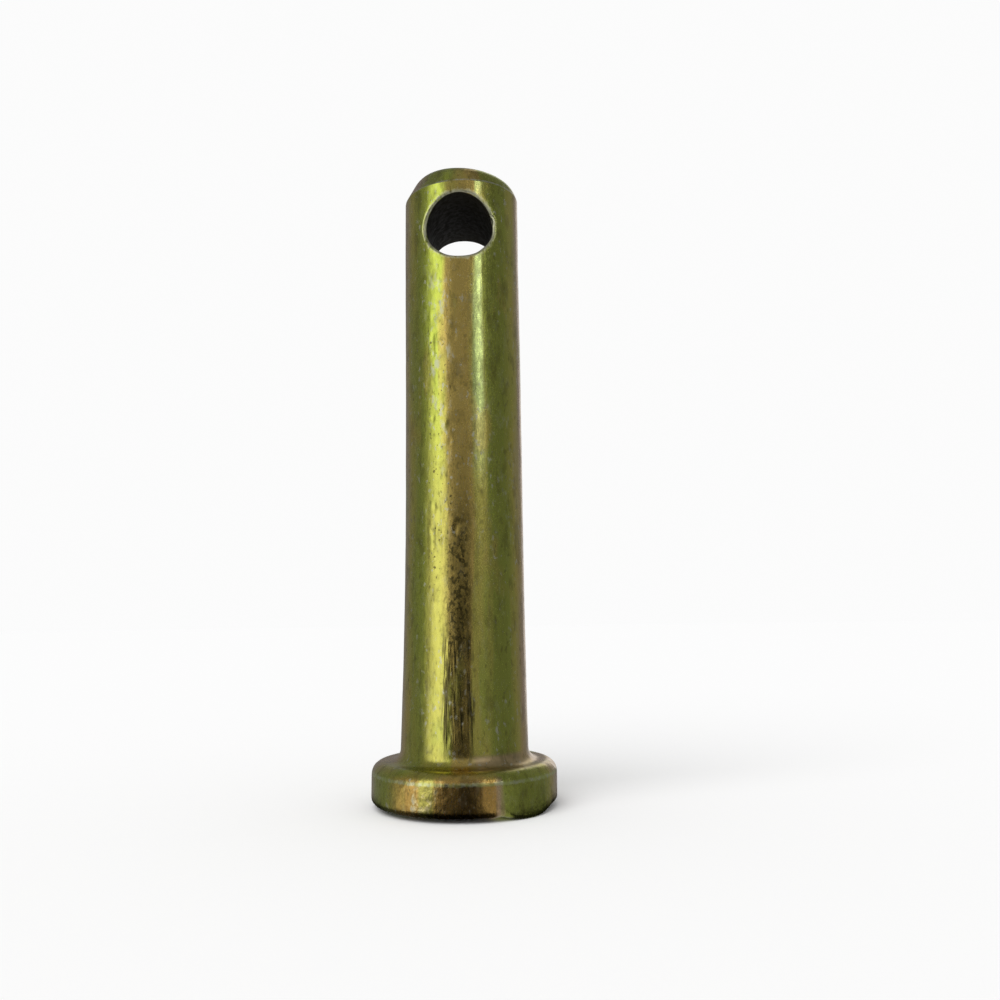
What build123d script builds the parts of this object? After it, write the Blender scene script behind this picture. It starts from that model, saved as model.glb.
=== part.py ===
from build123d import *
import os

# Clevis pin: a forged and drilled steel pin, standing on its head.
# The origin is the centre of the head's end face, +Z runs up the shank to the point,
# and the cross hole runs along Y. Lengths are in millimetres, angles in degrees.

# Shank
shank_diameter = 12.0
grip_length = 60.0  # from the bearing face to the middle of the point's end

# Head
head_diameter = 18.2
head_thickness = 4.4
head_crown_radius = 1.2  # rounding of the rim on the shank's side
head_base_radius = 0.6  # rounding of the rim at the end
end_face_diameter = 12.0  # the flat in the middle of the end, which the pin stands on
end_crown = 0.5  # how far the end falls back from that flat to the rim

# Neck: upsetting the head leaves the shank a little thicker beside it
neck_swell = 0.34  # added to the shank's radius at the bearing face
neck_swell_length = 27.0
neck_fillet_radius = 1.1

# Flash left on one side of the rim, level with the end face
flash_bearing = -43.0  # about Z, from +X
flash_width = 7.0
flash_edge_radius = 0.3

# Point: swaged in a die that sat a little off the pin's axis
point_length = 2.3
point_depth = 1.0  # how much the cone takes off the shank's radius
point_round_radius = 1.9
die_offset = 0.5  # along +X
die_tilt = 4.9  # about Y, which leaves the -X side higher

# Cross hole
hole_diameter = 6.7
hole_to_point = 1.2  # metal between the hole and the start of the point's cone
hole_edge_radius = 0.3

# Places worked out from the sizes
shank_radius = shank_diameter / 2
head_radius = head_diameter / 2
hole_radius = hole_diameter / 2
end_height = head_thickness + grip_length
hole_height = end_height - point_length - hole_to_point - hole_radius
neck_radius = shank_radius + neck_swell
clear = shank_diameter  # how far cutting forms reach past the metal

# The neck's fillet and the crown's rounding share the bearing face and leave a flat ring of it
largest_share = 0.46
largest_rounding = largest_share * (head_radius - neck_radius)


def turned(outline):
    """The solid swept by a closed outline, drawn as radius and height, turned about Z."""
    return revolve(Plane.XZ * outline, Axis.Z)


def corner(outline, radius, height):
    """The outline's vertex at this radius and height."""
    return outline.vertices().sort_by_distance((radius, height))[0]


def blank():
    """The headed blank: crowned end, rim, bearing face, neck and a shank left long for the point."""
    foot = head_thickness + neck_swell_length
    top = end_height + clear
    path = Polyline(
        (shank_radius, foot),
        (shank_radius, top),
        (0, top),
        (0, 0),
        (end_face_diameter / 2, 0),
        (head_radius, end_crown),
        (head_radius, head_thickness),
        (neck_radius, head_thickness),
    )
    swell = TangentArc((shank_radius, foot), (neck_radius, head_thickness), tangent=(0, -1))
    outline = make_face(path.edges() + swell.edges())
    for radius, height, rounding in (
        (head_radius, end_crown, head_base_radius),
        (head_radius, head_thickness, min(head_crown_radius, largest_rounding)),
        (neck_radius, head_thickness, min(neck_fillet_radius, largest_rounding)),
    ):
        outline = fillet(corner(outline, radius, height), rounding)
    return turned(outline)


def flash():
    """A lens of metal that fills the crown back to the end face's level on one side of the rim."""
    plain_rim = Rectangle(head_radius, head_thickness / 2, align=(Align.MIN, Align.MIN))
    plain_rim = fillet(corner(plain_rim, head_radius, 0), flash_edge_radius)
    # The ball's cap at the rim's level is as wide as the flash
    ball_radius = (flash_width / 2) ** 2 / (2 * end_crown)
    ball = Pos(head_radius, 0, ball_radius) * Sphere(ball_radius)
    return Rot(0, 0, flash_bearing) * (turned(plain_rim) & ball)


def point_die():
    """The inside of the die: a rounded cone at the end, which clears the rest of the pin."""
    slope = point_depth / point_length
    mouth_radius = shank_radius + clear
    mouth_depth = point_length + clear / slope
    outline = make_face(
        Polyline(
            (0, 0),
            (shank_radius - point_depth, 0),
            (mouth_radius, -mouth_depth),
            (mouth_radius, -mouth_depth - end_height),
            (0, -mouth_depth - end_height),
            (0, 0),
        )
    )
    outline = fillet(corner(outline, shank_radius - point_depth, 0), point_round_radius)
    return Pos(die_offset, 0, end_height) * Rot(0, die_tilt, 0) * turned(outline)


def cross_hole():
    """The drill's path across the shank."""
    return Pos(0, 0, hole_height) * Rot(90, 0, 0) * Cylinder(hole_radius, shank_diameter + clear)


def rims(pin):
    """The hole's two saddle-shaped rims, which are the curved edges of its wall."""
    walls = pin.faces().filter_by(GeomType.CYLINDER)
    wall = walls.sort_by(lambda face: abs(face.radius - hole_radius))[0]
    return wall.edges().filter_by(GeomType.LINE, reverse=True)


def clevis_pin():
    """The blank with its flash, swaged to the die's form, drilled, and with the hole's rims broken."""
    pin = (blank() + flash()) & point_die()
    pin -= cross_hole()
    return fillet(rims(pin), hole_edge_radius)


os.makedirs("parts", exist_ok=True)
export_step(clevis_pin(), "parts/clevis_pin.step")
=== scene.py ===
"""Clevis pin in yellow-passivated zinc, standing on its head in a soft tent of light.

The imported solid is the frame. The visible pin is one closed surface worked out here from the
same sizes, with the small things the solid leaves out: draw marks, pits, forging unevenness,
the ragged edge of the cross hole and the iridescent passivate.
"""

import math

import bpy
import numpy as np
from mathutils import Matrix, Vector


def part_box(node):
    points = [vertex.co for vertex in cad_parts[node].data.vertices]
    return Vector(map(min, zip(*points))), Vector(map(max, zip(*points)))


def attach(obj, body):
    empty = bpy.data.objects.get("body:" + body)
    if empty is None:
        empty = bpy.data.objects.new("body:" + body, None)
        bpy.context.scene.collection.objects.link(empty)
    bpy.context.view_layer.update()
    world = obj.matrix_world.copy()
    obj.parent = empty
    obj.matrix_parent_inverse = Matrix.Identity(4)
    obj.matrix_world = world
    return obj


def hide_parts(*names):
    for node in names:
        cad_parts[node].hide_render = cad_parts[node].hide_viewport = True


bl_info = {
    "name": "Clevis pin",
    "version": (1, 0, 0),
    "blender": (4, 5, 0),
    "location": "View3D > Sidebar > Clevis pin",
    "description": "Makes a yellow-zinc clevis pin and the stage that it stands on",
    "category": "Add Mesh",
}

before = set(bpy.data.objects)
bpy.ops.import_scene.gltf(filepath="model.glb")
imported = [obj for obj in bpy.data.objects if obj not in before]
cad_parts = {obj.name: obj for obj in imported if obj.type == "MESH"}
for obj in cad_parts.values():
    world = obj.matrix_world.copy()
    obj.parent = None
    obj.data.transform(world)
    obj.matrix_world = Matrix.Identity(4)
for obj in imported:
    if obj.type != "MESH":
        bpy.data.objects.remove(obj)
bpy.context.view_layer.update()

NODE = "clevis_pin"
MM = 0.001
DEGREE = math.pi / 180
RIDGE_LEAN = 0.0344  # rise of the point's ridge for each millimetre towards +X
RIDGE_HEIGHT = 62.23  # height of the ridge on the pin's axis, in millimetres
FRONT = -math.pi / 2  # the bearing of the cross hole's near mouth, about Z from +X

# The camera, in millimetres and radians
CAMERA_PLACE = (4.29, -89.85, 17.81)
CAMERA_YAW = -0.0054  # from +Y towards +X
CAMERA_PITCH = 0.1369  # upwards
CAMERA_ROLL = -0.0112
CAMERA_REACH = 84.0  # from the lens to the front of the shank
SENSOR_WIDTH = 36.0

# The stage, in millimetres
TENT_RADIUS = 250.0
TENT_HEIGHT = 260.0
APRON_START = 6.3  # the tent's cloth begins under the head
APRON_LIFT = 0.05  # it lies this far above the floor
FLOOR_HALF = 3000.0

_low, _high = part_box(NODE)


# ---------------------------------------------------------------- what a user would change


class ClevisPinShape(bpy.types.PropertyGroup):
    """Sizes of the pin's own forms."""

    shank_radius: bpy.props.FloatProperty(
        name="Shank radius", description="Radius of the plain shank",
        default=6.0 * MM, unit="LENGTH", precision=5)
    head_radius: bpy.props.FloatProperty(
        name="Head radius", description="Radius of the head's rim",
        default=(_high.x - _low.x) / 2, unit="LENGTH", precision=5)
    head_thickness: bpy.props.FloatProperty(
        name="Head thickness", description="From the end face to the bearing face",
        default=4.4 * MM, unit="LENGTH", precision=5)
    grip: bpy.props.FloatProperty(
        name="Grip", description="From the bearing face to the middle of the point's end",
        default=60.0 * MM, unit="LENGTH", precision=5)
    hole_radius: bpy.props.FloatProperty(
        name="Cross hole radius", description="Radius of the drilled cross hole",
        default=3.35 * MM, unit="LENGTH", precision=5)
    hole_height: bpy.props.FloatProperty(
        name="Cross hole height", description="From the end face to the cross hole's axis",
        default=57.55 * MM, unit="LENGTH", precision=5)
    wear: bpy.props.FloatProperty(
        name="Wear", description="How deep the dents, pits and draw marks are",
        default=1.0, min=0.0, max=2.0, subtype="FACTOR")


class ClevisPinFinish(bpy.types.PropertyGroup):
    """Colours of the passivated zinc, and of the highlights, shade and dark reflection painted on it.
    """

    gold: bpy.props.FloatVectorProperty(
        name="Gold", description="Colour of the passivate where it is plain",
        default=(0.52, 0.47, 0.11), subtype="COLOR", min=0.0, max=1.0)
    lime: bpy.props.FloatVectorProperty(
        name="Lime", description="Colour of the passivate where its film is thin",
        default=(0.49, 0.56, 0.085), subtype="COLOR", min=0.0, max=1.0)
    # Also used as a painted highlight tint, where the right slit's highlight falls and on the crown's
    # edge
    pale: bpy.props.FloatVectorProperty(
        name="Pale lime", description="Colour of the passivate at its thinnest",
        default=(0.53, 0.62, 0.22), subtype="COLOR", min=0.0, max=1.0)
    # Also a painted dark reflection on the front of the head
    brown: bpy.props.FloatVectorProperty(
        name="Brown", description="Colour of the passivate at its thickest, on the head's side",
        default=(0.30, 0.19, 0.06), subtype="COLOR", min=0.0, max=1.0)
    green: bpy.props.FloatVectorProperty(
        name="Green", description="Colour of the passivate's green patches",
        default=(0.38, 0.42, 0.085), subtype="COLOR", min=0.0, max=1.0)
    copper: bpy.props.FloatVectorProperty(
        name="Copper", description="Colour of the passivate's copper band",
        default=(0.58, 0.43, 0.12), subtype="COLOR", min=0.0, max=1.0)
    orange: bpy.props.FloatVectorProperty(
        name="Orange", description="Colour of the passivate on the head's side",
        default=(0.58, 0.36, 0.10), subtype="COLOR", min=0.0, max=1.0)
    rose: bpy.props.FloatVectorProperty(
        name="Rose", description="Colour of the passivate where its film is thick",
        default=(0.54, 0.39, 0.24), subtype="COLOR", min=0.0, max=1.0)
    # Also the painted highlight lines on the crown's edge, the point's ridge and the hole's rim
    worn: bpy.props.FloatVectorProperty(
        name="Worn", description="Colour of bare zinc where the passivate has rubbed off",
        default=(0.62, 0.62, 0.52), subtype="COLOR", min=0.0, max=1.0)
    # Also the painted dark reflection in the marks and pits low down in front
    grime: bpy.props.FloatVectorProperty(
        name="Grime", description="Colour of the dark film in the draw marks and pits",
        default=(0.12, 0.10, 0.035), subtype="COLOR", min=0.0, max=1.0)
    # Painted highlight specks on the head's side
    painted_glint: bpy.props.FloatVectorProperty(
        name="Glint", description="Colour of the bright specks on the head's side",
        default=(0.80, 0.68, 0.34), subtype="COLOR", min=0.0, max=1.0)
    # Partly painted highlight on the hole's broken edge
    burr_and_highlight: bpy.props.FloatVectorProperty(
        name="Burr", description="Colour of the rubbed edge of the cross hole",
        default=(0.76, 0.74, 0.46), subtype="COLOR", min=0.0, max=1.0)
    # Painted shade inside the cross hole
    bore: bpy.props.FloatVectorProperty(
        name="Bore", description="Colour inside the cross hole",
        default=(0.010, 0.008, 0.004), subtype="COLOR", min=0.0, max=1.0)


class ClevisPinStage(bpy.types.PropertyGroup):
    """The floor, the light and the camera."""

    floor_colour: bpy.props.FloatVectorProperty(
        name="Floor", description="Colour of the floor",
        default=(0.93, 0.93, 0.93), subtype="COLOR", min=0.0, max=1.0)
    backdrop: bpy.props.FloatVectorProperty(
        name="Backdrop", description="Colour of the backdrop",
        default=(0.97, 0.97, 0.97), subtype="COLOR", min=0.0, max=1.0)
    room_level: bpy.props.FloatProperty(
        name="Room level", description="Brightness of the room's light on plain surfaces",
        default=0.66, min=0.0, max=2.0)
    sun_level: bpy.props.FloatProperty(
        name="Key level", description="Strength of the soft key lamp",
        default=1.65, min=0.0, max=10.0)
    tent_level: bpy.props.FloatProperty(
        name="Tent level", description="Brightness of the plain cloth of the light tent",
        default=0.33, min=0.0, max=2.0)
    window_level: bpy.props.FloatProperty(
        name="Window level", description="Brightness of the tent's wide window on the left",
        default=1.25, min=0.0, max=4.0)
    slit_level: bpy.props.FloatProperty(
        name="Slit level", description="Brightness of the tent's narrow slit on the right",
        default=3.2, min=0.0, max=6.0)
    lens: bpy.props.FloatProperty(
        name="Lens", description="Focal length of the camera, in millimetres",
        default=31.67, min=10.0, max=200.0)


# ---------------------------------------------------------------- node trees from expressions


class Value:
    """A number that varies over a surface. Arithmetic on it adds Math nodes to its tree."""

    def __init__(self, tree, socket):
        self.tree = tree
        self.socket = socket

    def _math(self, operation, *operands):
        return self.tree.number("ShaderNodeMath", {"operation": operation}, dict(enumerate(operands)))

    def __add__(self, other):
        return self._math("ADD", self, other)

    __radd__ = __add__

    def __sub__(self, other):
        return self._math("SUBTRACT", self, other)

    def __rsub__(self, other):
        return self._math("SUBTRACT", other, self)

    def __mul__(self, other):
        return self._math("MULTIPLY", self, other)

    __rmul__ = __mul__

    def __truediv__(self, other):
        return self._math("DIVIDE", self, other)

    def __abs__(self):
        return self._math("ABSOLUTE", self)

    def __neg__(self):
        return self._math("MULTIPLY", self, -1.0)

    def smallest(self, other):
        return self._math("MINIMUM", self, other)

    def largest(self, other):
        return self._math("MAXIMUM", self, other)

    def turn_from(self, other):
        """The angle whose tangent is this number over the other, in degrees."""
        return self._math("ARCTAN2", self, other) * (1 / DEGREE)

    def step(self, start, end, low=0.0, high=1.0):
        """Low before start, high after end, and a smooth S between them."""
        if start > end:
            start, end, low, high = end, start, high, low
        return self.tree.number(
            "ShaderNodeMapRange",
            {"interpolation_type": "SMOOTHSTEP"},
            {0: self, 1: start, 2: end, 3: low, 4: high},
        )

    def band(self, start, full, fade, end):
        """One between full and fade, nothing outside start and end."""
        return self.step(start, full) * self.step(end, fade)


class Tree:
    """The nodes of one material or of the world."""

    def __init__(self, owner):
        owner.use_nodes = True
        self.nodes = owner.node_tree.nodes
        self.links = owner.node_tree.links
        self.nodes.clear()

    def node(self, kind, settings=None, sockets=None):
        """Adds a node: its settings first, then its sockets' values or links."""
        node = self.nodes.new(kind)
        for name, value in (settings or {}).items():
            if name == "stops":
                stops = node.color_ramp.elements
                while len(stops) < len(value):
                    stops.new(1.0)
                for stop, (place, colour) in zip(stops, value):
                    stop.position = place
                    stop.color = (*colour, 1.0)
            else:
                setattr(node, name, value)
        for key, value in (sockets or {}).items():
            if isinstance(value, Value):
                value = value.socket
            if isinstance(value, bpy.types.NodeSocket):
                self.links.new(value, node.inputs[key])
            else:
                node.inputs[key].default_value = value
        return node

    def number(self, kind, settings=None, sockets=None):
        """Adds a node and gives its first output as a number."""
        return Value(self, self.node(kind, settings, sockets).outputs[0])

    def mix(self, amount, first, second):
        """The first colour where the amount is nothing, the second where it is one."""
        first, second = (
            (*c, 1.0) if isinstance(c, (tuple, list)) and len(c) == 3 else c for c in (first, second)
        )
        settings = {"data_type": "RGBA", "blend_type": "MIX", "clamp_factor": True}
        return self.node("ShaderNodeMix", settings, {0: amount, 6: first, 7: second}).outputs[2]

    def place(self, scale=(1.0, 1.0, 1.0)):
        """Object coordinates in millimetres, stretched by a scale along each axis."""
        coordinates = self.node("ShaderNodeTexCoord").outputs["Object"]
        factors = tuple(part / MM for part in scale)
        return self.node(
            "ShaderNodeVectorMath", {"operation": "MULTIPLY"}, {0: coordinates, 1: factors}
        ).outputs[0]

    def axes(self):
        """The x, y and z of Object coordinates in millimetres, as numbers."""
        split = self.node("ShaderNodeSeparateXYZ", None, {0: self.place()})
        return tuple(Value(self, socket) for socket in split.outputs)

    def noise(self, scale=(1.0, 1.0, 1.0), size=1.0, detail=3.0, rough=0.5, shift=0.0):
        """Soft noise round one half, whose lumps are about size millimetres across."""
        where = self.place(scale)
        if shift:
            where = self.node(
                "ShaderNodeVectorMath", {"operation": "ADD"}, {0: where, 1: (shift, shift, shift)}
            ).outputs[0]
        sockets = {"Vector": where, "Scale": 1.0 / size, "Detail": detail, "Roughness": rough}
        return self.number("ShaderNodeTexNoise", {"noise_dimensions": "3D"}, sockets)

    def root(self, value):
        """The square root of a number."""
        return self.number("ShaderNodeMath", {"operation": "SQRT"}, {0: value})

    def ramp(self, turn, bands):
        """A colour from a number that runs from 0 to 1 round the pin, by bands in degrees."""
        stops = [(degrees / 360 + 0.5, colour) for degrees, colour in bands]
        return self.node("ShaderNodeValToRGB", {"stops": stops}, {0: turn}).outputs[0]

    def output(self, surface, kind="ShaderNodeOutputMaterial"):
        self.node(kind, None, {"Surface": surface})


def new_material(name):
    """An empty material and the tree of its nodes."""
    material = bpy.data.materials.new(name)
    return material, Tree(material)


# ---------------------------------------------------------------- surfaces from numpy


def new_piece(name, points, faces, material, smooth=True):
    """Puts points in millimetres and faces into a new mesh object at the origin."""
    mesh = bpy.data.meshes.new(name)
    mesh.from_pydata((np.asarray(points) * MM).tolist(), [], faces)
    mesh.polygons.foreach_set("use_smooth", np.full(len(mesh.polygons), smooth))
    mesh.materials.append(material)
    mesh.validate()
    mesh.update()
    piece = bpy.data.objects.new(name, mesh)
    bpy.context.scene.collection.objects.link(piece)
    return piece


def lumps(points, size, seed, cells=24):
    """Value noise from -1 to 1: random values on a cubic lattice, blended by a smooth S.

    The value at p is the sum over the eight corners of p's cell of the corner's random value
    times the product over the axes of s or 1 - s, where s = f*f*(3 - 2f) and f is p's place in
    the cell. The lattice repeats after a number of cells. Size may differ along each axis.
    """
    table = np.random.default_rng(seed).uniform(-1, 1, (cells, cells, cells))
    place = points / np.asarray(size, float) + 0.5 * cells
    corner = np.floor(place).astype(int)
    part = place - corner
    part = part * part * (3 - 2 * part)
    total = np.zeros(len(points))
    for step in np.ndindex(2, 2, 2):
        weight = np.prod(np.where(step, part, 1 - part), axis=1)
        i, j, k = ((corner + step) % cells).T
        total += weight * table[i, j, k]
    return total


def smooth_step(value, start, end):
    """0 before start, 1 after end, and the smooth S f*f*(3 - 2f) between them."""
    f = np.clip((value - start) / (end - start), 0, 1)
    return f * f * (3 - 2 * f)


def arc(centre, radius, start, end, count):
    """Radius and height along a circle's arc, from one angle to another, ends included."""
    angle = np.linspace(start, end, count)
    return centre[0] + radius * np.cos(angle), centre[1] + radius * np.sin(angle)


class PinForm:
    """Sizes of the pin in millimetres, and the curves worked out from them."""

    columns = 256  # round the pin
    patch_columns = 30  # from the middle of the hole's patch to its side
    patch_rows = 32  # from the bottom of the patch to its top
    ring = 0.3  # broken edge of the cross hole
    patch_reach = 4.0  # from the hole's axis to the top and bottom of its patch

    def __init__(self, shape):
        self.shank = shape.shank_radius / MM
        self.head = shape.head_radius / MM
        self.bearing = shape.head_thickness / MM
        self.end = self.bearing + shape.grip / MM
        self.bore = shape.hole_radius / MM
        self.bore_height = shape.hole_height / MM
        self.wear = shape.wear
        self.flat = 6.0  # radius of the flat that the pin stands on
        self.crown_drop = 0.5  # how far the end face falls back to the rim
        self.crown = 1.2  # rounding of the rim on the shank's side
        self.base = 0.6  # rounding of the rim at the end
        self.flash_bearing = -43.0 * DEGREE
        self.flash_half = 3.5  # half the width of the flash
        self.flash_edge = 0.3  # rounding of the flash's edge
        self.swell = 0.34  # how much thicker the neck is at the bearing face
        self.swell_top = self.bearing + 27.0
        self.fillet = 1.1
        self.fillet_inset = 0.027  # how much the neck has thinned at the fillet's top
        self.point_length = 2.3
        self.point_depth = 1.0  # how much smaller the cone's end is than the shank
        self.point_round = 1.9
        self.die_offset = 0.5  # towards +X
        self.die_tilt = 4.9 * DEGREE
        self.bearings = FRONT + np.arange(self.columns) * 2 * math.pi / self.columns

    def foot(self):
        """Radius and height of the head's end, rows outwards from near the middle to the rim.

        The end is flat, then a shallow cone that falls back from the floor. On the flash's side
        it is the lower of that cone and of a ball that touches the floor at the rim. The corner
        at the rim is rounded, less so where the flash stands.
        """
        turn = self.bearings - self.flash_bearing
        ball = self.flash_half**2 / (2 * self.crown_drop)

        def height(radius):
            cone = np.clip(radius - self.flat, 0, None) * self.crown_drop / (self.head - self.flat)
            away = (radius * np.cos(turn) - self.head) ** 2 + (radius * np.sin(turn)) ** 2
            cap = ball - np.sqrt(np.clip(ball**2 - away, 0, None))
            return np.minimum(cone, cap)

        share = height(np.full_like(turn, self.head)) / self.crown_drop
        slope = share * math.atan(self.crown_drop / (self.head - self.flat))
        rounding = self.flash_edge + (self.base - self.flash_edge) * share
        drop = self.crown_drop * share
        middle = drop - rounding * np.tan(slope) + rounding / np.cos(slope)
        start = self.head - rounding + rounding * np.sin(slope)
        rows = []
        for radius in np.linspace(0.5, self.flat, 13):
            rows.append((np.full_like(turn, radius), height(radius)))
        for share_out in np.linspace(0, 1, 15)[1:]:
            radius = self.flat + (start - self.flat) * share_out
            rows.append((radius, height(radius)))
        for part in np.linspace(0, 1, 9)[1:]:
            angle = slope + (math.pi / 2 - slope) * part
            radius = self.head - rounding + rounding * np.sin(angle)
            rows.append((radius, middle - rounding * np.cos(angle)))
        for part in np.linspace(0, 1, 13)[1:]:
            top = self.bearing - self.crown
            rows.append((np.full_like(turn, self.head), middle + (top - middle) * part))
        return rows

    def neck(self):
        """Radius and height from the rim's crown over the bearing face and up the shank.

        The crown is a quarter circle, the bearing face is flat, a quarter circle fills the
        corner, and the neck's radius falls as a circle's arc that touches the plain shank.
        """
        bend = ((self.swell_top - self.bearing) ** 2 + self.swell**2) / (2 * self.swell)
        crown_centre = (self.head - self.crown, self.bearing - self.crown)
        radius, height = arc(crown_centre, self.crown, 0, math.pi / 2, 13)
        corner = self.shank + self.swell + self.fillet - self.fillet_inset
        radius, height = radius[1:], height[1:]
        flat = np.linspace(self.head - self.crown, corner, 5)[1:]
        radius = np.append(radius, flat)
        height = np.append(height, np.full(len(flat), self.bearing))
        lean = math.asin((self.swell_top - self.bearing - self.fillet) / bend)
        fillet_centre = (corner, self.bearing + self.fillet)
        inner, up = arc(fillet_centre, self.fillet, -math.pi / 2, -math.pi + lean, 12)
        radius, height = np.append(radius, inner[1:]), np.append(height, up[1:])
        bottom, top = self.bore_height - self.patch_reach, self.bore_height + self.patch_reach
        shaft = np.linspace(height[-1], bottom, 192)[1:]
        drop = np.clip(self.swell_top - shaft, 0, None)
        radius = np.append(radius, self.shank + bend - np.sqrt(bend**2 - drop**2))
        height = np.append(height, shaft)
        patch = np.linspace(bottom, top, self.patch_rows + 1)[1:]
        radius = np.append(radius, np.full(self.patch_rows, self.shank))
        return radius, np.append(height, patch)

    def point(self):
        """The swaged point as rows of points: the shank up to the ridge, cone, rounding and end.

        The die is a turned form about an axis set off along X and tilted about Y. Its outline is
        a cone, a circle's arc and a flat. Each column meets the die where the shank's cylinder
        cuts the cone, and follows the die's outline from there to its axis.
        """
        slope = self.point_depth / self.point_length
        lean = math.atan(slope)
        tip = self.shank - self.point_depth
        tangent = self.point_round * math.tan((math.pi / 2 - lean) / 2)
        cosine, sine = math.cos(self.die_tilt), math.sin(self.die_tilt)
        x, y = self.shank * np.cos(self.bearings), self.shank * np.sin(self.bearings)
        height = np.full_like(x, self.end - self.point_length)

        def in_die(height):
            across, up = x - self.die_offset, height - self.end
            return across * cosine - up * sine, across * sine + up * cosine

        for _ in range(20):
            across, up = in_die(height)
            height -= np.hypot(across, y) + slope * up - tip
        across, up = in_die(height)
        bearing, reach = np.arctan2(y, across), np.hypot(across, y)
        rows = []
        last = self.bore_height + self.patch_reach
        for part in (0.35, 0.65, 0.85, 0.95, 1.0):
            rows.append(np.stack([x, y, last + (height - last) * part], 1))
        outline = []
        edge = tip + tangent * math.sin(lean)
        for part in (0.06, 0.16, 0.3, 0.45, 0.6, 0.75, 0.88, 1.0):
            radius = reach + (edge - reach) * part
            outline.append((radius, (tip - radius) / slope))
        for angle in np.linspace(lean, math.pi / 2, 14)[1:]:
            radius = tip - tangent + self.point_round * math.cos(angle)
            depth = self.point_round * (math.sin(angle) - 1)
            outline.append((np.full_like(x, radius), np.full_like(x, depth)))
        for radius in np.linspace(tip - tangent, 0.35, 11)[1:]:
            outline.append((np.full_like(x, radius), np.zeros_like(x)))
        for radius, depth in outline:
            across, side = radius * np.cos(bearing), radius * np.sin(bearing)
            off = self.die_offset + across * cosine + depth * sine
            up = self.end - across * sine + depth * cosine
            rows.append(np.stack([off, side, up], 1))
        top = np.array([self.die_offset, 0.0, self.end])
        return rows, top


def pin_surface(form):
    """Points and faces of the whole pin: a turned grid with the cross hole let into it.

    Every row of the grid has one point for each column round the pin. Where the cross hole
    comes out, a rectangle of the grid is left out on each side. Its border is carried in to the
    hole's circle, over the broken edge, through the bore and out to the rectangle on the other
    side, as one tube of loops whose points keep their angle about the bore's axis.
    """
    around = form.bearings
    profile = form.foot() + list(zip(*form.neck()))
    rows = [
        np.stack([radius * np.cos(around), radius * np.sin(around), height + 0 * around], 1)
        for radius, height in profile
    ]
    patch_end = len(rows) - 1
    patch_start = patch_end - form.patch_rows
    point_rows, tip = form.point()
    rows += point_rows
    grid = np.array(rows)
    count, columns = grid.shape[:2]
    points = grid.reshape(-1, 3)
    bottom, top = len(points), len(points) + 1
    points = np.vstack([points, [[0.0, 0.0, 0.0]], tip])
    index = np.arange(count * columns).reshape(count, columns)

    # Quads of the grid, without the two rectangles
    quads = np.stack(
        [index[:-1], np.roll(index[:-1], -1, 1), np.roll(index[1:], -1, 1), index[1:]], 2
    )
    side = form.patch_columns
    offset = (np.arange(columns) + columns // 4) % (columns // 2) - columns // 4
    inside = (offset >= -side) & (offset < side)
    keep = np.ones(quads.shape[:2], bool)
    keep[patch_start:patch_end, inside] = False
    faces = quads[keep].tolist()
    faces += np.stack([np.full(columns, bottom), np.roll(index[0], -1), index[0]], 1).tolist()
    faces += np.stack([np.full(columns, top), index[-1], np.roll(index[-1], -1)], 1).tolist()

    # The border of the near rectangle, anticlockwise from the lower right, and of the far one
    up = np.arange(patch_start, patch_end)
    across = np.arange(side, -side, -1)
    upright, level = np.full(len(up), side), np.full(len(across), 1)
    border_rows = np.concatenate([up, level * patch_end, up[::-1] + 1, level * patch_start])
    border_columns = np.concatenate([upright, across, -upright, across[::-1] - 1])
    near = index[border_rows, border_columns % columns]
    far = index[border_rows, (columns // 2 - border_columns) % columns]

    # Loops from the near border to the middle of the bore, mirrored for the other half
    start = points[near]
    x, z = start[:, 0], start[:, 2] - form.bore_height
    angle = np.arctan2(z, x)
    reach = np.hypot(x, z)
    cosine, sine = np.cos(angle), np.sin(angle)

    def surface(radius):
        return np.sqrt(form.shank**2 - (radius * cosine) ** 2)

    def loop(radius, depth):
        return np.stack([radius * cosine, -depth, form.bore_height + radius * sine], 1)

    # The broken edge leans as the shank's surface does where the two meet, found in two steps
    rim = form.bore + form.ring
    lean = np.arctan(rim * cosine**2 / surface(rim))
    edge = rim + form.ring * np.sin(lean)
    lean = np.arctan(edge * cosine**2 / surface(edge))
    edge = rim + form.ring * np.sin(lean)
    centre = surface(edge) - form.ring * np.cos(lean)
    loops = []
    for part in np.linspace(0, 1, 8)[1:]:
        radius = reach + (edge - reach) * part**0.8
        loops.append(loop(radius, surface(radius)))
    for part in np.linspace(0, 1, 8)[1:]:
        # From the outward direction round to the direction of the bore's axis
        turn = lean + (-math.pi / 2 - lean) * part
        loops.append(loop(rim + form.ring * np.sin(turn), centre + form.ring * np.cos(turn)))
    for part in np.linspace(0, 1, 13)[1:]:
        loops.append(loop(np.full_like(centre, form.bore), centre * (1 - part)))
    half = np.array(loops)
    other = half[:-1][::-1] * (1, -1, 1)
    tube = np.concatenate([half, other])
    first = len(points)
    points = np.vstack([points, tube.reshape(-1, 3)])
    inner = first + np.arange(tube.shape[0] * tube.shape[1]).reshape(tube.shape[:2])
    chain = np.vstack([near, inner, far])
    tube_quads = np.stack(
        [chain[:-1], np.roll(chain[:-1], -1, 1), np.roll(chain[1:], -1, 1), chain[1:]], 2
    )
    faces += tube_quads.reshape(-1, 4).tolist()
    return points, faces


def outward(points, faces):
    """Unit normals at the points: each face adds its cross product, a quad that of its diagonals."""
    total = np.zeros_like(points)
    for corners in (3, 4):
        some = np.array([face for face in faces if len(face) == corners])
        first, second, third, last = points[some[:, (0, 1, 2, corners - 1)]].transpose(1, 0, 2)
        if corners == 4:
            normal = np.cross(third - first, last - second)
        else:
            normal = np.cross(second - first, third - first)
        for corner in range(corners):
            np.add.at(total, some[:, corner], normal)
    return total / np.linalg.norm(total, axis=1, keepdims=True)


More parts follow.
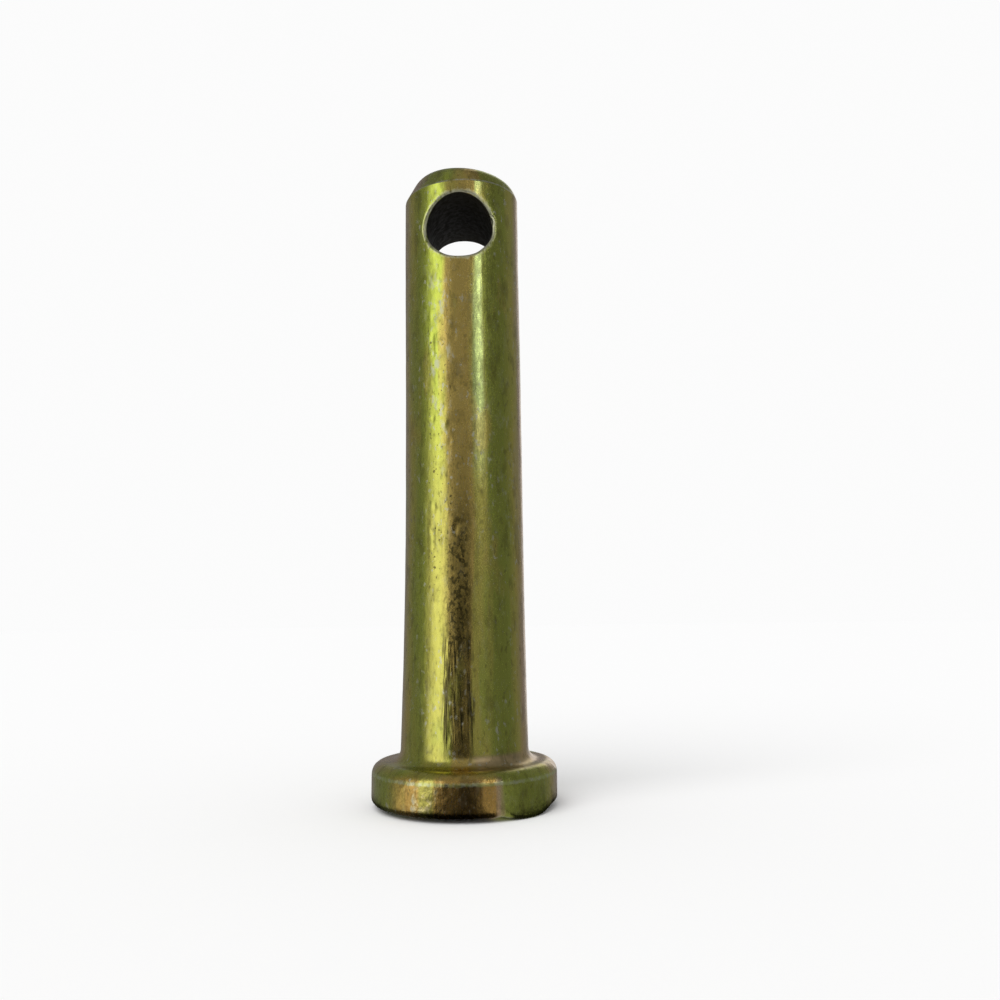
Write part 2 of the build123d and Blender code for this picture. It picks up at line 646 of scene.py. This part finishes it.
def worn(form, points, faces):
    """Moves each point along its normal by the depth of the marks there.

    The depth is the sum of wide forging lumps, of draw marks, which are noise stretched along
    the shank and cut off at a level, of pits, which are the tops of small round noise, and of
    the head's hammered skin. Each has its own place, given by smooth steps in height and bearing.
    The near rim of the hole moves towards the hole's axis or away from it, and the whole shank
    is bent by a parabola.
    """
    normal = outward(points, faces)
    x, y, z = points.T
    bearing = np.arctan2(x, -y) / DEGREE  # 0 at the near mouth, positive towards +X
    radius = np.hypot(x, y)
    skin = smooth_step(radius, form.shank - 1.6, form.shank - 0.9)
    on_head = 1 - smooth_step(z, form.bearing - 0.4, form.bearing + 0.2)
    on_shank = smooth_step(z, form.bearing + 1.0, form.bearing + 2.5) * skin

    depth = 0.012 * lumps(points, 3.4, 11) + 0.006 * lumps(points, 1.3, 12)

    # Draw marks: the forming die has scored the neck, most of all in front
    streak = lumps(points, (0.42, 0.42, 7.0), 21) + 0.5 * lumps(points, (0.25, 0.25, 3.0), 22)
    groove = smooth_step(streak, 0.25, 0.9)
    place = smooth_step(bearing, -20, -13) * (1 - smooth_step(bearing, 9, 15))
    place = place * smooth_step(z, 5.6, 7.0) * (1 - smooth_step(z, 14.0, 17.5))
    depth -= on_shank * groove * (0.006 + 0.045 * place)

    # Pits along the front of the shank
    pit = smooth_step(lumps(points, (0.55, 0.55, 0.8), 31), 0.45, 0.8)
    where = smooth_step(bearing, -34, -26) * (1 - smooth_step(bearing, -8, 4))
    where = where * smooth_step(z, 18, 26) * (1 - smooth_step(z, 46, 52))
    depth -= on_shank * pit * (0.008 + 0.035 * where)

    # The head's hammered skin
    depth += on_head * (0.022 * lumps(points, 1.0, 41) + 0.014 * lumps(points, 0.5, 42))
    depth *= form.wear

    # The near rim of the hole is ragged: it keeps a flat at the upper right and is torn below it
    off, rise = x, z - form.bore_height
    turn = np.arctan2(rise, off) / DEGREE
    reach = np.hypot(off, rise)
    ring = np.stack([off, rise, 0 * off], 1) / reach[:, None] * form.bore
    flat = smooth_step(turn, 19, 24) * (1 - smooth_step(turn, 48, 66))
    tear = smooth_step(turn, 6, 12) * (1 - smooth_step(turn, 18, 22))
    rough = -0.15 * flat + 0.07 * tear + 0.05 * lumps(ring, 0.8, 51)
    rough = rough * (1 - smooth_step(reach, 3.7, 4.0)) * smooth_step(-y, 3.6, 4.6)
    rough = rough * form.wear / reach
    points = points + np.stack([off * rough, 0 * off, rise * rough], 1)

    # The shank is bent by a hair
    bow = 0.12 * np.clip(1 - ((z - 29.0) / 27.0) ** 2, 0, 1) * form.wear
    points = points + np.stack([bow, 0 * bow, 0 * bow], 1)
    # The foot keeps to the floor
    depth = np.where(z < 0.15, np.minimum(depth, 0.0), depth)
    return points + normal * depth[:, None]


# ---------------------------------------------------------------- finishes


def zinc_finish(colours, form):
    """Yellow passivate on zinc: iridescent bands along the pin, rubbed and grimy in places, with
    painted highlights on its edges, specks and hole's mouth, painted shade in the bore and painted
    dark reflection in front.

    Bearings are in degrees and lengths in millimetres. Each mask is one inside its place.
    """
    material, tree = new_material("yellow_passivated_zinc")
    x, y, z = tree.axes()
    bearing = x.turn_from(-y)  # 0 in front, 90 at +X
    radius = tree.root(x * x + y * y)
    ridge_height = z - x * RIDGE_LEAN  # the same all along the point's ridge
    gold, lime, green = tuple(colours.gold), tuple(colours.lime), tuple(colours.green)
    copper, rose, bare = tuple(colours.copper), tuple(colours.rose), tuple(colours.worn)
    orange, grime, painted_glint = tuple(colours.orange), tuple(colours.grime), tuple(colours.painted_glint)
    pale, brown, burr_and_highlight = tuple(colours.pale), tuple(colours.brown), tuple(colours.burr_and_highlight)

    # The film's thickness runs in bands along the pin that wander a little
    wander = (tree.noise((1, 1, 0.12), 2.6, 2.0, shift=3.0) - 0.5) * 34
    wander = wander + (tree.noise((1, 1, 0.05), 0.9, 2.0, shift=9.0) - 0.5) * 14
    around = (bearing + wander) / 360 + 0.5
    film = tree.ramp(around, [
        (-180, lime), (-166, copper), (-152, gold), (-134, lime), (-112, rose), (-80, rose),
        (-58, gold), (-44, green), (-32, lime), (-17, lime), (-9, copper), (8, copper),
        (14, gold), (20, gold), (25, green), (46, green), (60, gold), (76, rose), (110, rose),
        (128, gold), (145, green), (162, gold), (180, lime),
    ])
    # Higher up beside the copper band, where the right slit's highlight falls, it is a paler lime as
    # a painted highlight tint, and lower down it is yellower
    thin = (bearing + wander * 0.4).band(11, 15, 20, 25) * z.step(29, 38)
    film = tree.mix(thin, film, pale)
    low = z.step(44, 26)
    film = tree.mix(low * bearing.band(-40, -30, -14, -8) * 0.8, film, gold)
    # Patches where the film is greener or redder
    patch = tree.noise((1, 1, 0.35), 3.2, 3.0, shift=17.0)
    film = tree.mix(patch.step(0.55, 0.68) * 0.5, film, green)
    film = tree.mix(patch.step(0.44, 0.32) * 0.5, film, copper)

    # The head has taken the film more thickly, in golds, browns and a deep green; the brown facing
    # the front is partly film and partly painted dark reflection
    head_film = tree.ramp(around, [
        (-180, gold), (-120, green), (-85, rose), (-62, green), (-52, green), (-42, gold),
        (-31, orange), (-24, gold), (-14, gold), (-8, orange), (-3, brown), (7, brown),
        (11, orange), (18, orange), (22, rose), (27, green), (52, green), (64, gold), (85, rose),
        (140, orange), (180, gold),
    ])
    on_head = z.step(4.25, 3.5)
    film = tree.mix(on_head, film, head_film)

    # The point has its own bands, and the neck's fillet is rosy on the right
    on_point = ridge_height.step(62.1, 62.45)
    point_film = tree.ramp(around, [
        (-180, gold), (-125, green), (-85, rose), (-46, rose), (-36, green), (-20, green),
        (-13, lime), (-6, green), (4, copper), (18, copper), (26, green), (55, green), (85, rose),
        (130, copper), (180, gold),
    ])
    film = tree.mix(on_point, film, point_film)
    fillet = z.band(4.1, 4.5, 5.2, 5.7) * bearing.band(4, 14, 55, 75)
    film = tree.mix(fillet * 0.8, film, rose)

    # Both ends are plain patches of green and copper in the middle
    middle = radius.step(5.0, 3.4) * (on_point + z.step(1.0, 0.6))
    end_film = tree.mix(patch.step(0.40, 0.60), copper, green)
    film = tree.mix(middle, film, end_film)

    # Mottling at two sizes
    blotch = tree.noise((1, 1, 0.45), 1.1, 3.0, 0.55, shift=41.0)
    mottle = tree.noise((1, 1, 0.5), 0.4, 3.0, 0.6, shift=23.0)
    film = tree.mix(blotch.step(0.5, 0.3) * 0.36, film, grime)
    film = tree.mix(mottle.step(0.44, 0.30) * 0.45, film, grime)

    # Draw marks and pits hold grime. Low down in front, where the camera's dark reflection lies, the
    # marks and pits are darker still: partly grime, partly painted dark reflection
    streak = tree.noise((1, 1, 0.07), 0.32, 2.0, 0.6, shift=51.0)
    marks = bearing.band(-20, -14, 9, 14) * z.band(5.5, 7.5, 15, 18)
    film = tree.mix(streak.step(0.50, 0.40) * marks * 0.9, film, grime)
    speck = tree.noise((1, 1, 0.8), 0.28, 2.0, 0.5, shift=61.0)
    pits_and_dark_reflection = bearing.band(-16, -9, 4, 10) * z.band(13, 16, 25, 30)
    film = tree.mix(speck.step(0.50, 0.40) * pits_and_dark_reflection * 0.8, film, grime)
    holes = bearing.band(-34, -28, -10, -2) * z.band(17, 22, 46, 50) + on_head * 0.5
    film = tree.mix(speck.step(0.36, 0.29) * holes.smallest(1.0), film, grime)

    # Bare zinc where it has rubbed, as specks; and on the crown's edge, the point's ridge and the
    # hole's rim, lines that are partly rubbed zinc and partly painted highlight
    fine = tree.noise((1, 1, 0.6), 0.5, 4.0, 0.6, shift=5.0)
    drift = tree.noise((1, 1, 0.3), 4.0, 2.0, 0.5, shift=71.0)
    rub = fine.step(0.60, 0.68) * drift.step(0.38, 0.58)
    scuff = tree.noise((1, 1, 0.45), 0.75, 5.0, 0.7, shift=101.0)
    where = bearing.band(-38, -30, -12, -6) * z.band(28, 40, 50, 54)
    where = where.largest(bearing.band(38, 46, 58, 66) * z.band(24, 28, 35, 40))
    rub = rub.largest(scuff.step(0.53, 0.66) * (where * 0.7 + 0.15))
    # Painted highlight: bright specks on the head's side, where the tent's left window reflects
    bright = bearing.band(-36, -30, -14, -8) * z.band(0.5, 1, 2.8, 3.2) * on_head
    film = tree.mix(fine.step(0.52, 0.60) * bright * 0.6, film, painted_glint)
    ragged = (fine - 0.5) * 0.8
    # Painted highlight lines, partly rubbed zinc: the crown's edge, the point's ridge and the hole's
    # rim
    crown = (z + ragged * 0.6).band(3.16, 3.32, 3.42, 3.64) * radius.step(8.9, 9.0)
    ridge = abs(ridge_height - RIDGE_HEIGHT + ragged * 0.15).step(0.14, 0.05)
    rise = z - form.bore_height
    from_bore = tree.root(x * x + rise * rise)
    rim = (from_bore + ragged * 0.9).band(3.32, 3.40, 3.46, 3.66)
    # The ring round the hole's mouth: partly rubbed zinc, partly painted highlight where its bevel
    # catches the light
    rim_wear_and_highlight = (from_bore + ragged).band(3.3, 3.4, 3.55, 3.9) * mottle.step(0.38, 0.50)
    film = tree.mix(crown * 0.5, film, pale)
    film = tree.mix(rim_wear_and_highlight * 0.8, film, burr_and_highlight)
    edge = (crown * mottle.step(0.40, 0.62) * 0.6).largest(ridge * mottle.step(0.3, 0.6))
    edge = edge.largest(rim * 0.8)
    film = tree.mix((rub * 0.65).largest(edge * 0.75), film, bare)
    # Painted shade: inside the cross hole the surface is nearly black and not metallic
    bore = from_bore.step(3.46, 3.36)  # dark and dull
    film = tree.mix(bore, film, tuple(colours.bore))

    shine = mottle.step(0.3, 0.75, 0.32, 0.20) + rub * 0.12 + edge * 0.1
    shine = shine + rim_wear_and_highlight * 0.15 + fillet * 0.14 + bore * 0.4
    grain = tree.noise((1, 1, 0.25), 0.3, 4.0, 0.6, shift=31.0)
    swell = tree.noise((1, 1, 0.3), 1.6, 2.0, 0.5, shift=81.0)
    hammer = tree.noise((1, 1, 1), 0.7, 3.0, 0.6, shift=91.0)
    relief = grain * 0.012 + swell * 0.05 + streak * marks * 0.05 + hammer * on_head * 0.06
    bump = tree.node(
        "ShaderNodeBump", None, {"Strength": 1.0, "Distance": MM, "Height": relief}
    ).outputs[0]
    surface = tree.node(
        "ShaderNodeBsdfPrincipled",
        None,
        {
            "Base Color": film,
            "Roughness": shine,
            "Metallic": 1 - bore,
            "Specular IOR Level": 0.12,
            "Normal": bump,
        },
    )
    tree.output(surface.outputs[0])
    return material


def tent_cloth(stage, shank):
    """The tent's light, for a shank of this radius in millimetres.

    Dim cloth, a wide window on the left, a slit on the right, a dark gap in front, a window at
    the back and a lit wedge of the apron below the rim's flash.
    """
    material, tree = new_material("tent_cloth")
    x, y, z = tree.axes()
    bearing = x.turn_from(-y)
    radius = tree.root(x * x + y * y)
    # The height on the shank at which a lens in front sees this part of the tent mirrored
    reach = radius - shank
    seen = (z * CAMERA_REACH + reach * CAMERA_PLACE[2]) / (reach + CAMERA_REACH)
    high = seen.step(64, 84)
    cloth = bearing.step(36, 62, 1.0, 0.62) * bearing.step(-60, -85, 1.0, 0.75)
    cloth = cloth * bearing.step(80, 110, 1.0, 1.25) * (1 - high * 0.1)
    window = bearing.band(-73, -50, -36, -28) * (1 - high) * radius.step(14, 60, 0.4, 1.0)
    slit = bearing.band(30.5, 34, 36, 39.5) * seen.step(30, 41) * (1 - high)
    gap = bearing.band(-27, -16, 8, 24) * seen.step(34, 25)
    behind = bearing.band(148, 158, 168, 176) * 0.6
    wedge = bearing.band(21, 25, 30, 34) * radius.step(17, 12) * 0.4
    level = cloth * (1 - gap * 0.85) * stage.tent_level
    level = level + (window + behind) * stage.window_level + slit * stage.slit_level
    # The apron is dark where the head shades it
    level = level * radius.step(9.5, 14.5, 0.06, 1.0) + wedge
    light = tree.node("ShaderNodeCombineColor", None, {"Red": level, "Green": level, "Blue": level})
    glow = tree.node("ShaderNodeEmission", None, {"Color": light.outputs[0], "Strength": 1.0})
    tree.output(glow.outputs[0])
    material.cycles.emission_sampling = "NONE"
    return material


# ---------------------------------------------------------------- camera and light


def camera_turn():
    """The camera's axes as columns: right, up and backwards.

    The view's direction comes from yaw and pitch. Right is that direction crossed with Z, up is
    right crossed with it, and the roll turns both about the view's direction.
    """
    yaw, pitch, roll = CAMERA_YAW, CAMERA_PITCH, CAMERA_ROLL
    flat = math.cos(pitch)
    view = np.array([math.sin(yaw) * flat, math.cos(yaw) * flat, math.sin(pitch)])
    level = np.cross(view, (0, 0, 1))
    level /= np.linalg.norm(level)
    upright = np.cross(level, view)
    right = level * math.cos(roll) + upright * math.sin(roll)
    up = upright * math.cos(roll) - level * math.sin(roll)
    return np.stack([right, up, -view], 1)


def make_camera(stage):
    """The camera in front of the pin, low and looking a little up."""
    camera = bpy.data.objects.new("camera", bpy.data.cameras.new("camera"))
    bpy.context.scene.collection.objects.link(camera)
    camera.data.sensor_width = SENSOR_WIDTH
    camera.data.lens = stage.lens
    camera.data.clip_start = 0.005
    camera.data.clip_end = 20.0
    pose = np.eye(4)
    pose[:3, :3] = camera_turn()
    pose[:3, 3] = np.array(CAMERA_PLACE) * MM
    camera.matrix_world = Matrix(pose.tolist())
    bpy.context.scene.camera = camera


def make_world(stage):
    """The pale backdrop, as the camera and the metal see it, and the room's plain light."""
    world = bpy.data.worlds.new("room")
    bpy.context.scene.world = world
    tree = Tree(world)
    path = tree.node("ShaderNodeLightPath")
    camera, glossy, clear = (
        Value(tree, path.outputs[f"Is {ray} Ray"]) for ray in ("Camera", "Glossy", "Transmission")
    )
    seen = (camera + glossy + clear).smallest(1.0)
    colour = tree.mix(seen, (stage.room_level,) * 3, tuple(stage.backdrop))
    back = tree.node("ShaderNodeBackground", None, {"Color": colour, "Strength": 1.0})
    tree.output(back.outputs[0], "ShaderNodeOutputWorld")


def make_floor(stage):
    """A plain pale floor, a flat square at height 0."""
    material, tree = new_material("pale_floor")
    surface = tree.node("ShaderNodeBsdfDiffuse", None, {"Color": (*stage.floor_colour, 1.0)})
    tree.output(surface.outputs[0])
    corners = np.array([[-1, -1, 0], [1, -1, 0], [1, 1, 0], [-1, 1, 0]])
    points = corners * FLOOR_HALF
    new_piece("floor", points, [[0, 1, 2, 3]], material, smooth=False)


def make_tent(stage, shank):
    """The light tent: a turned profile of apron, wall and roof, seen only in the metal.

    Rows run from beside the head out over the floor, up the wall and in to the middle of the
    roof, each the same circle of columns.
    """
    radius = np.concatenate([
        np.linspace(APRON_START, 60.0, 26), np.linspace(70.0, TENT_RADIUS, 12),
        np.full(12, TENT_RADIUS), np.linspace(TENT_RADIUS, 1.0, 12)[1:],
    ])
    height = np.concatenate([
        np.full(26 + 12, APRON_LIFT), np.linspace(10.0, TENT_HEIGHT, 12), np.full(11, TENT_HEIGHT),
    ])
    around = FRONT + np.linspace(0, 2 * math.pi, 97)[:-1]
    grid = np.stack([
        np.outer(radius, np.cos(around)), np.outer(radius, np.sin(around)),
        np.repeat(height[:, None], len(around), 1),
    ], 2)
    index = np.arange(grid.shape[0] * grid.shape[1]).reshape(grid.shape[:2])
    inner, outer = index[:-1], index[1:]
    quads = np.stack([inner, outer, np.roll(outer, -1, 1), np.roll(inner, -1, 1)], 2)
    cloth = tent_cloth(stage, shank)
    tent = new_piece("tent", grid.reshape(-1, 3), quads.reshape(-1, 4).tolist(), cloth)
    tent.visible_camera = False
    tent.visible_diffuse = False
    tent.visible_shadow = False
    tent.visible_transmission = False


def make_lamp(stage):
    """A soft key lamp from the upper left, which gives the floor its shadow."""
    lamp = bpy.data.objects.new("key", bpy.data.lights.new("key", "SUN"))
    bpy.context.scene.collection.objects.link(lamp)
    lamp.data.energy = stage.sun_level
    lamp.data.angle = 50 * DEGREE
    lamp.rotation_euler = (35 * DEGREE, -25 * DEGREE, 0)
    lamp.visible_glossy = False


# ---------------------------------------------------------------- operators and panel


class CLEVISPIN_OT_stage(bpy.types.Operator):
    """Makes the camera, the backdrop, the floor, the light tent and the key lamp"""

    bl_idname = "clevis_pin.make_stage"
    bl_label = "Make the stage"

    def execute(self, context):
        stage = context.scene.clevis_pin_stage
        context.scene.view_settings.view_transform = "Standard"
        make_camera(stage)
        make_world(stage)
        make_floor(stage)
        make_tent(stage, context.scene.clevis_pin_shape.shank_radius / MM)
        make_lamp(stage)
        return {"FINISHED"}


class CLEVISPIN_OT_pin(bpy.types.Operator):
    """Makes the pin itself, in place of the plain solid"""

    bl_idname = "clevis_pin.make_pin"
    bl_label = "Make the pin"

    def execute(self, context):
        form = PinForm(context.scene.clevis_pin_shape)
        points, faces = pin_surface(form)
        points = worn(form, points, faces)
        finish = zinc_finish(context.scene.clevis_pin_finish, form)
        pin = new_piece("headed_pin", points, faces, finish)
        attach(pin, "root")
        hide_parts(NODE)
        return {"FINISHED"}


class CLEVISPIN_PT_panel(bpy.types.Panel):
    """Lists the sizes, colours and pieces"""

    bl_label = "Clevis pin"
    bl_idname = "CLEVISPIN_PT_panel"
    bl_space_type = "VIEW_3D"
    bl_region_type = "UI"
    bl_category = "Clevis pin"

    def draw(self, context):
        layout = self.layout
        operators = {"stage": CLEVISPIN_OT_stage, "shape": CLEVISPIN_OT_pin, "finish": None}
        for name, operator in operators.items():
            group = getattr(context.scene, f"clevis_pin_{name}")
            box = layout.box()
            for key in group.bl_rna.properties.keys():
                if key not in ("rna_type", "name"):
                    box.prop(group, key)
            if operator:
                box.operator(operator.bl_idname)


CLASSES = (
    ClevisPinShape, ClevisPinFinish, ClevisPinStage,
    CLEVISPIN_OT_stage, CLEVISPIN_OT_pin, CLEVISPIN_PT_panel,
)
GROUPS = {
    "clevis_pin_shape": ClevisPinShape,
    "clevis_pin_finish": ClevisPinFinish,
    "clevis_pin_stage": ClevisPinStage,
}


def register():
    for item in CLASSES:
        bpy.utils.register_class(item)
    for name, group in GROUPS.items():
        setattr(bpy.types.Scene, name, bpy.props.PointerProperty(type=group))


def unregister():
    for name in GROUPS:
        delattr(bpy.types.Scene, name)
    for item in reversed(CLASSES):
        bpy.utils.unregister_class(item)


def main():
    """Makes everything in order."""
    register()
    bpy.ops.clevis_pin.make_stage()
    bpy.ops.clevis_pin.make_pin()


if __name__ == "__main__":
    main()
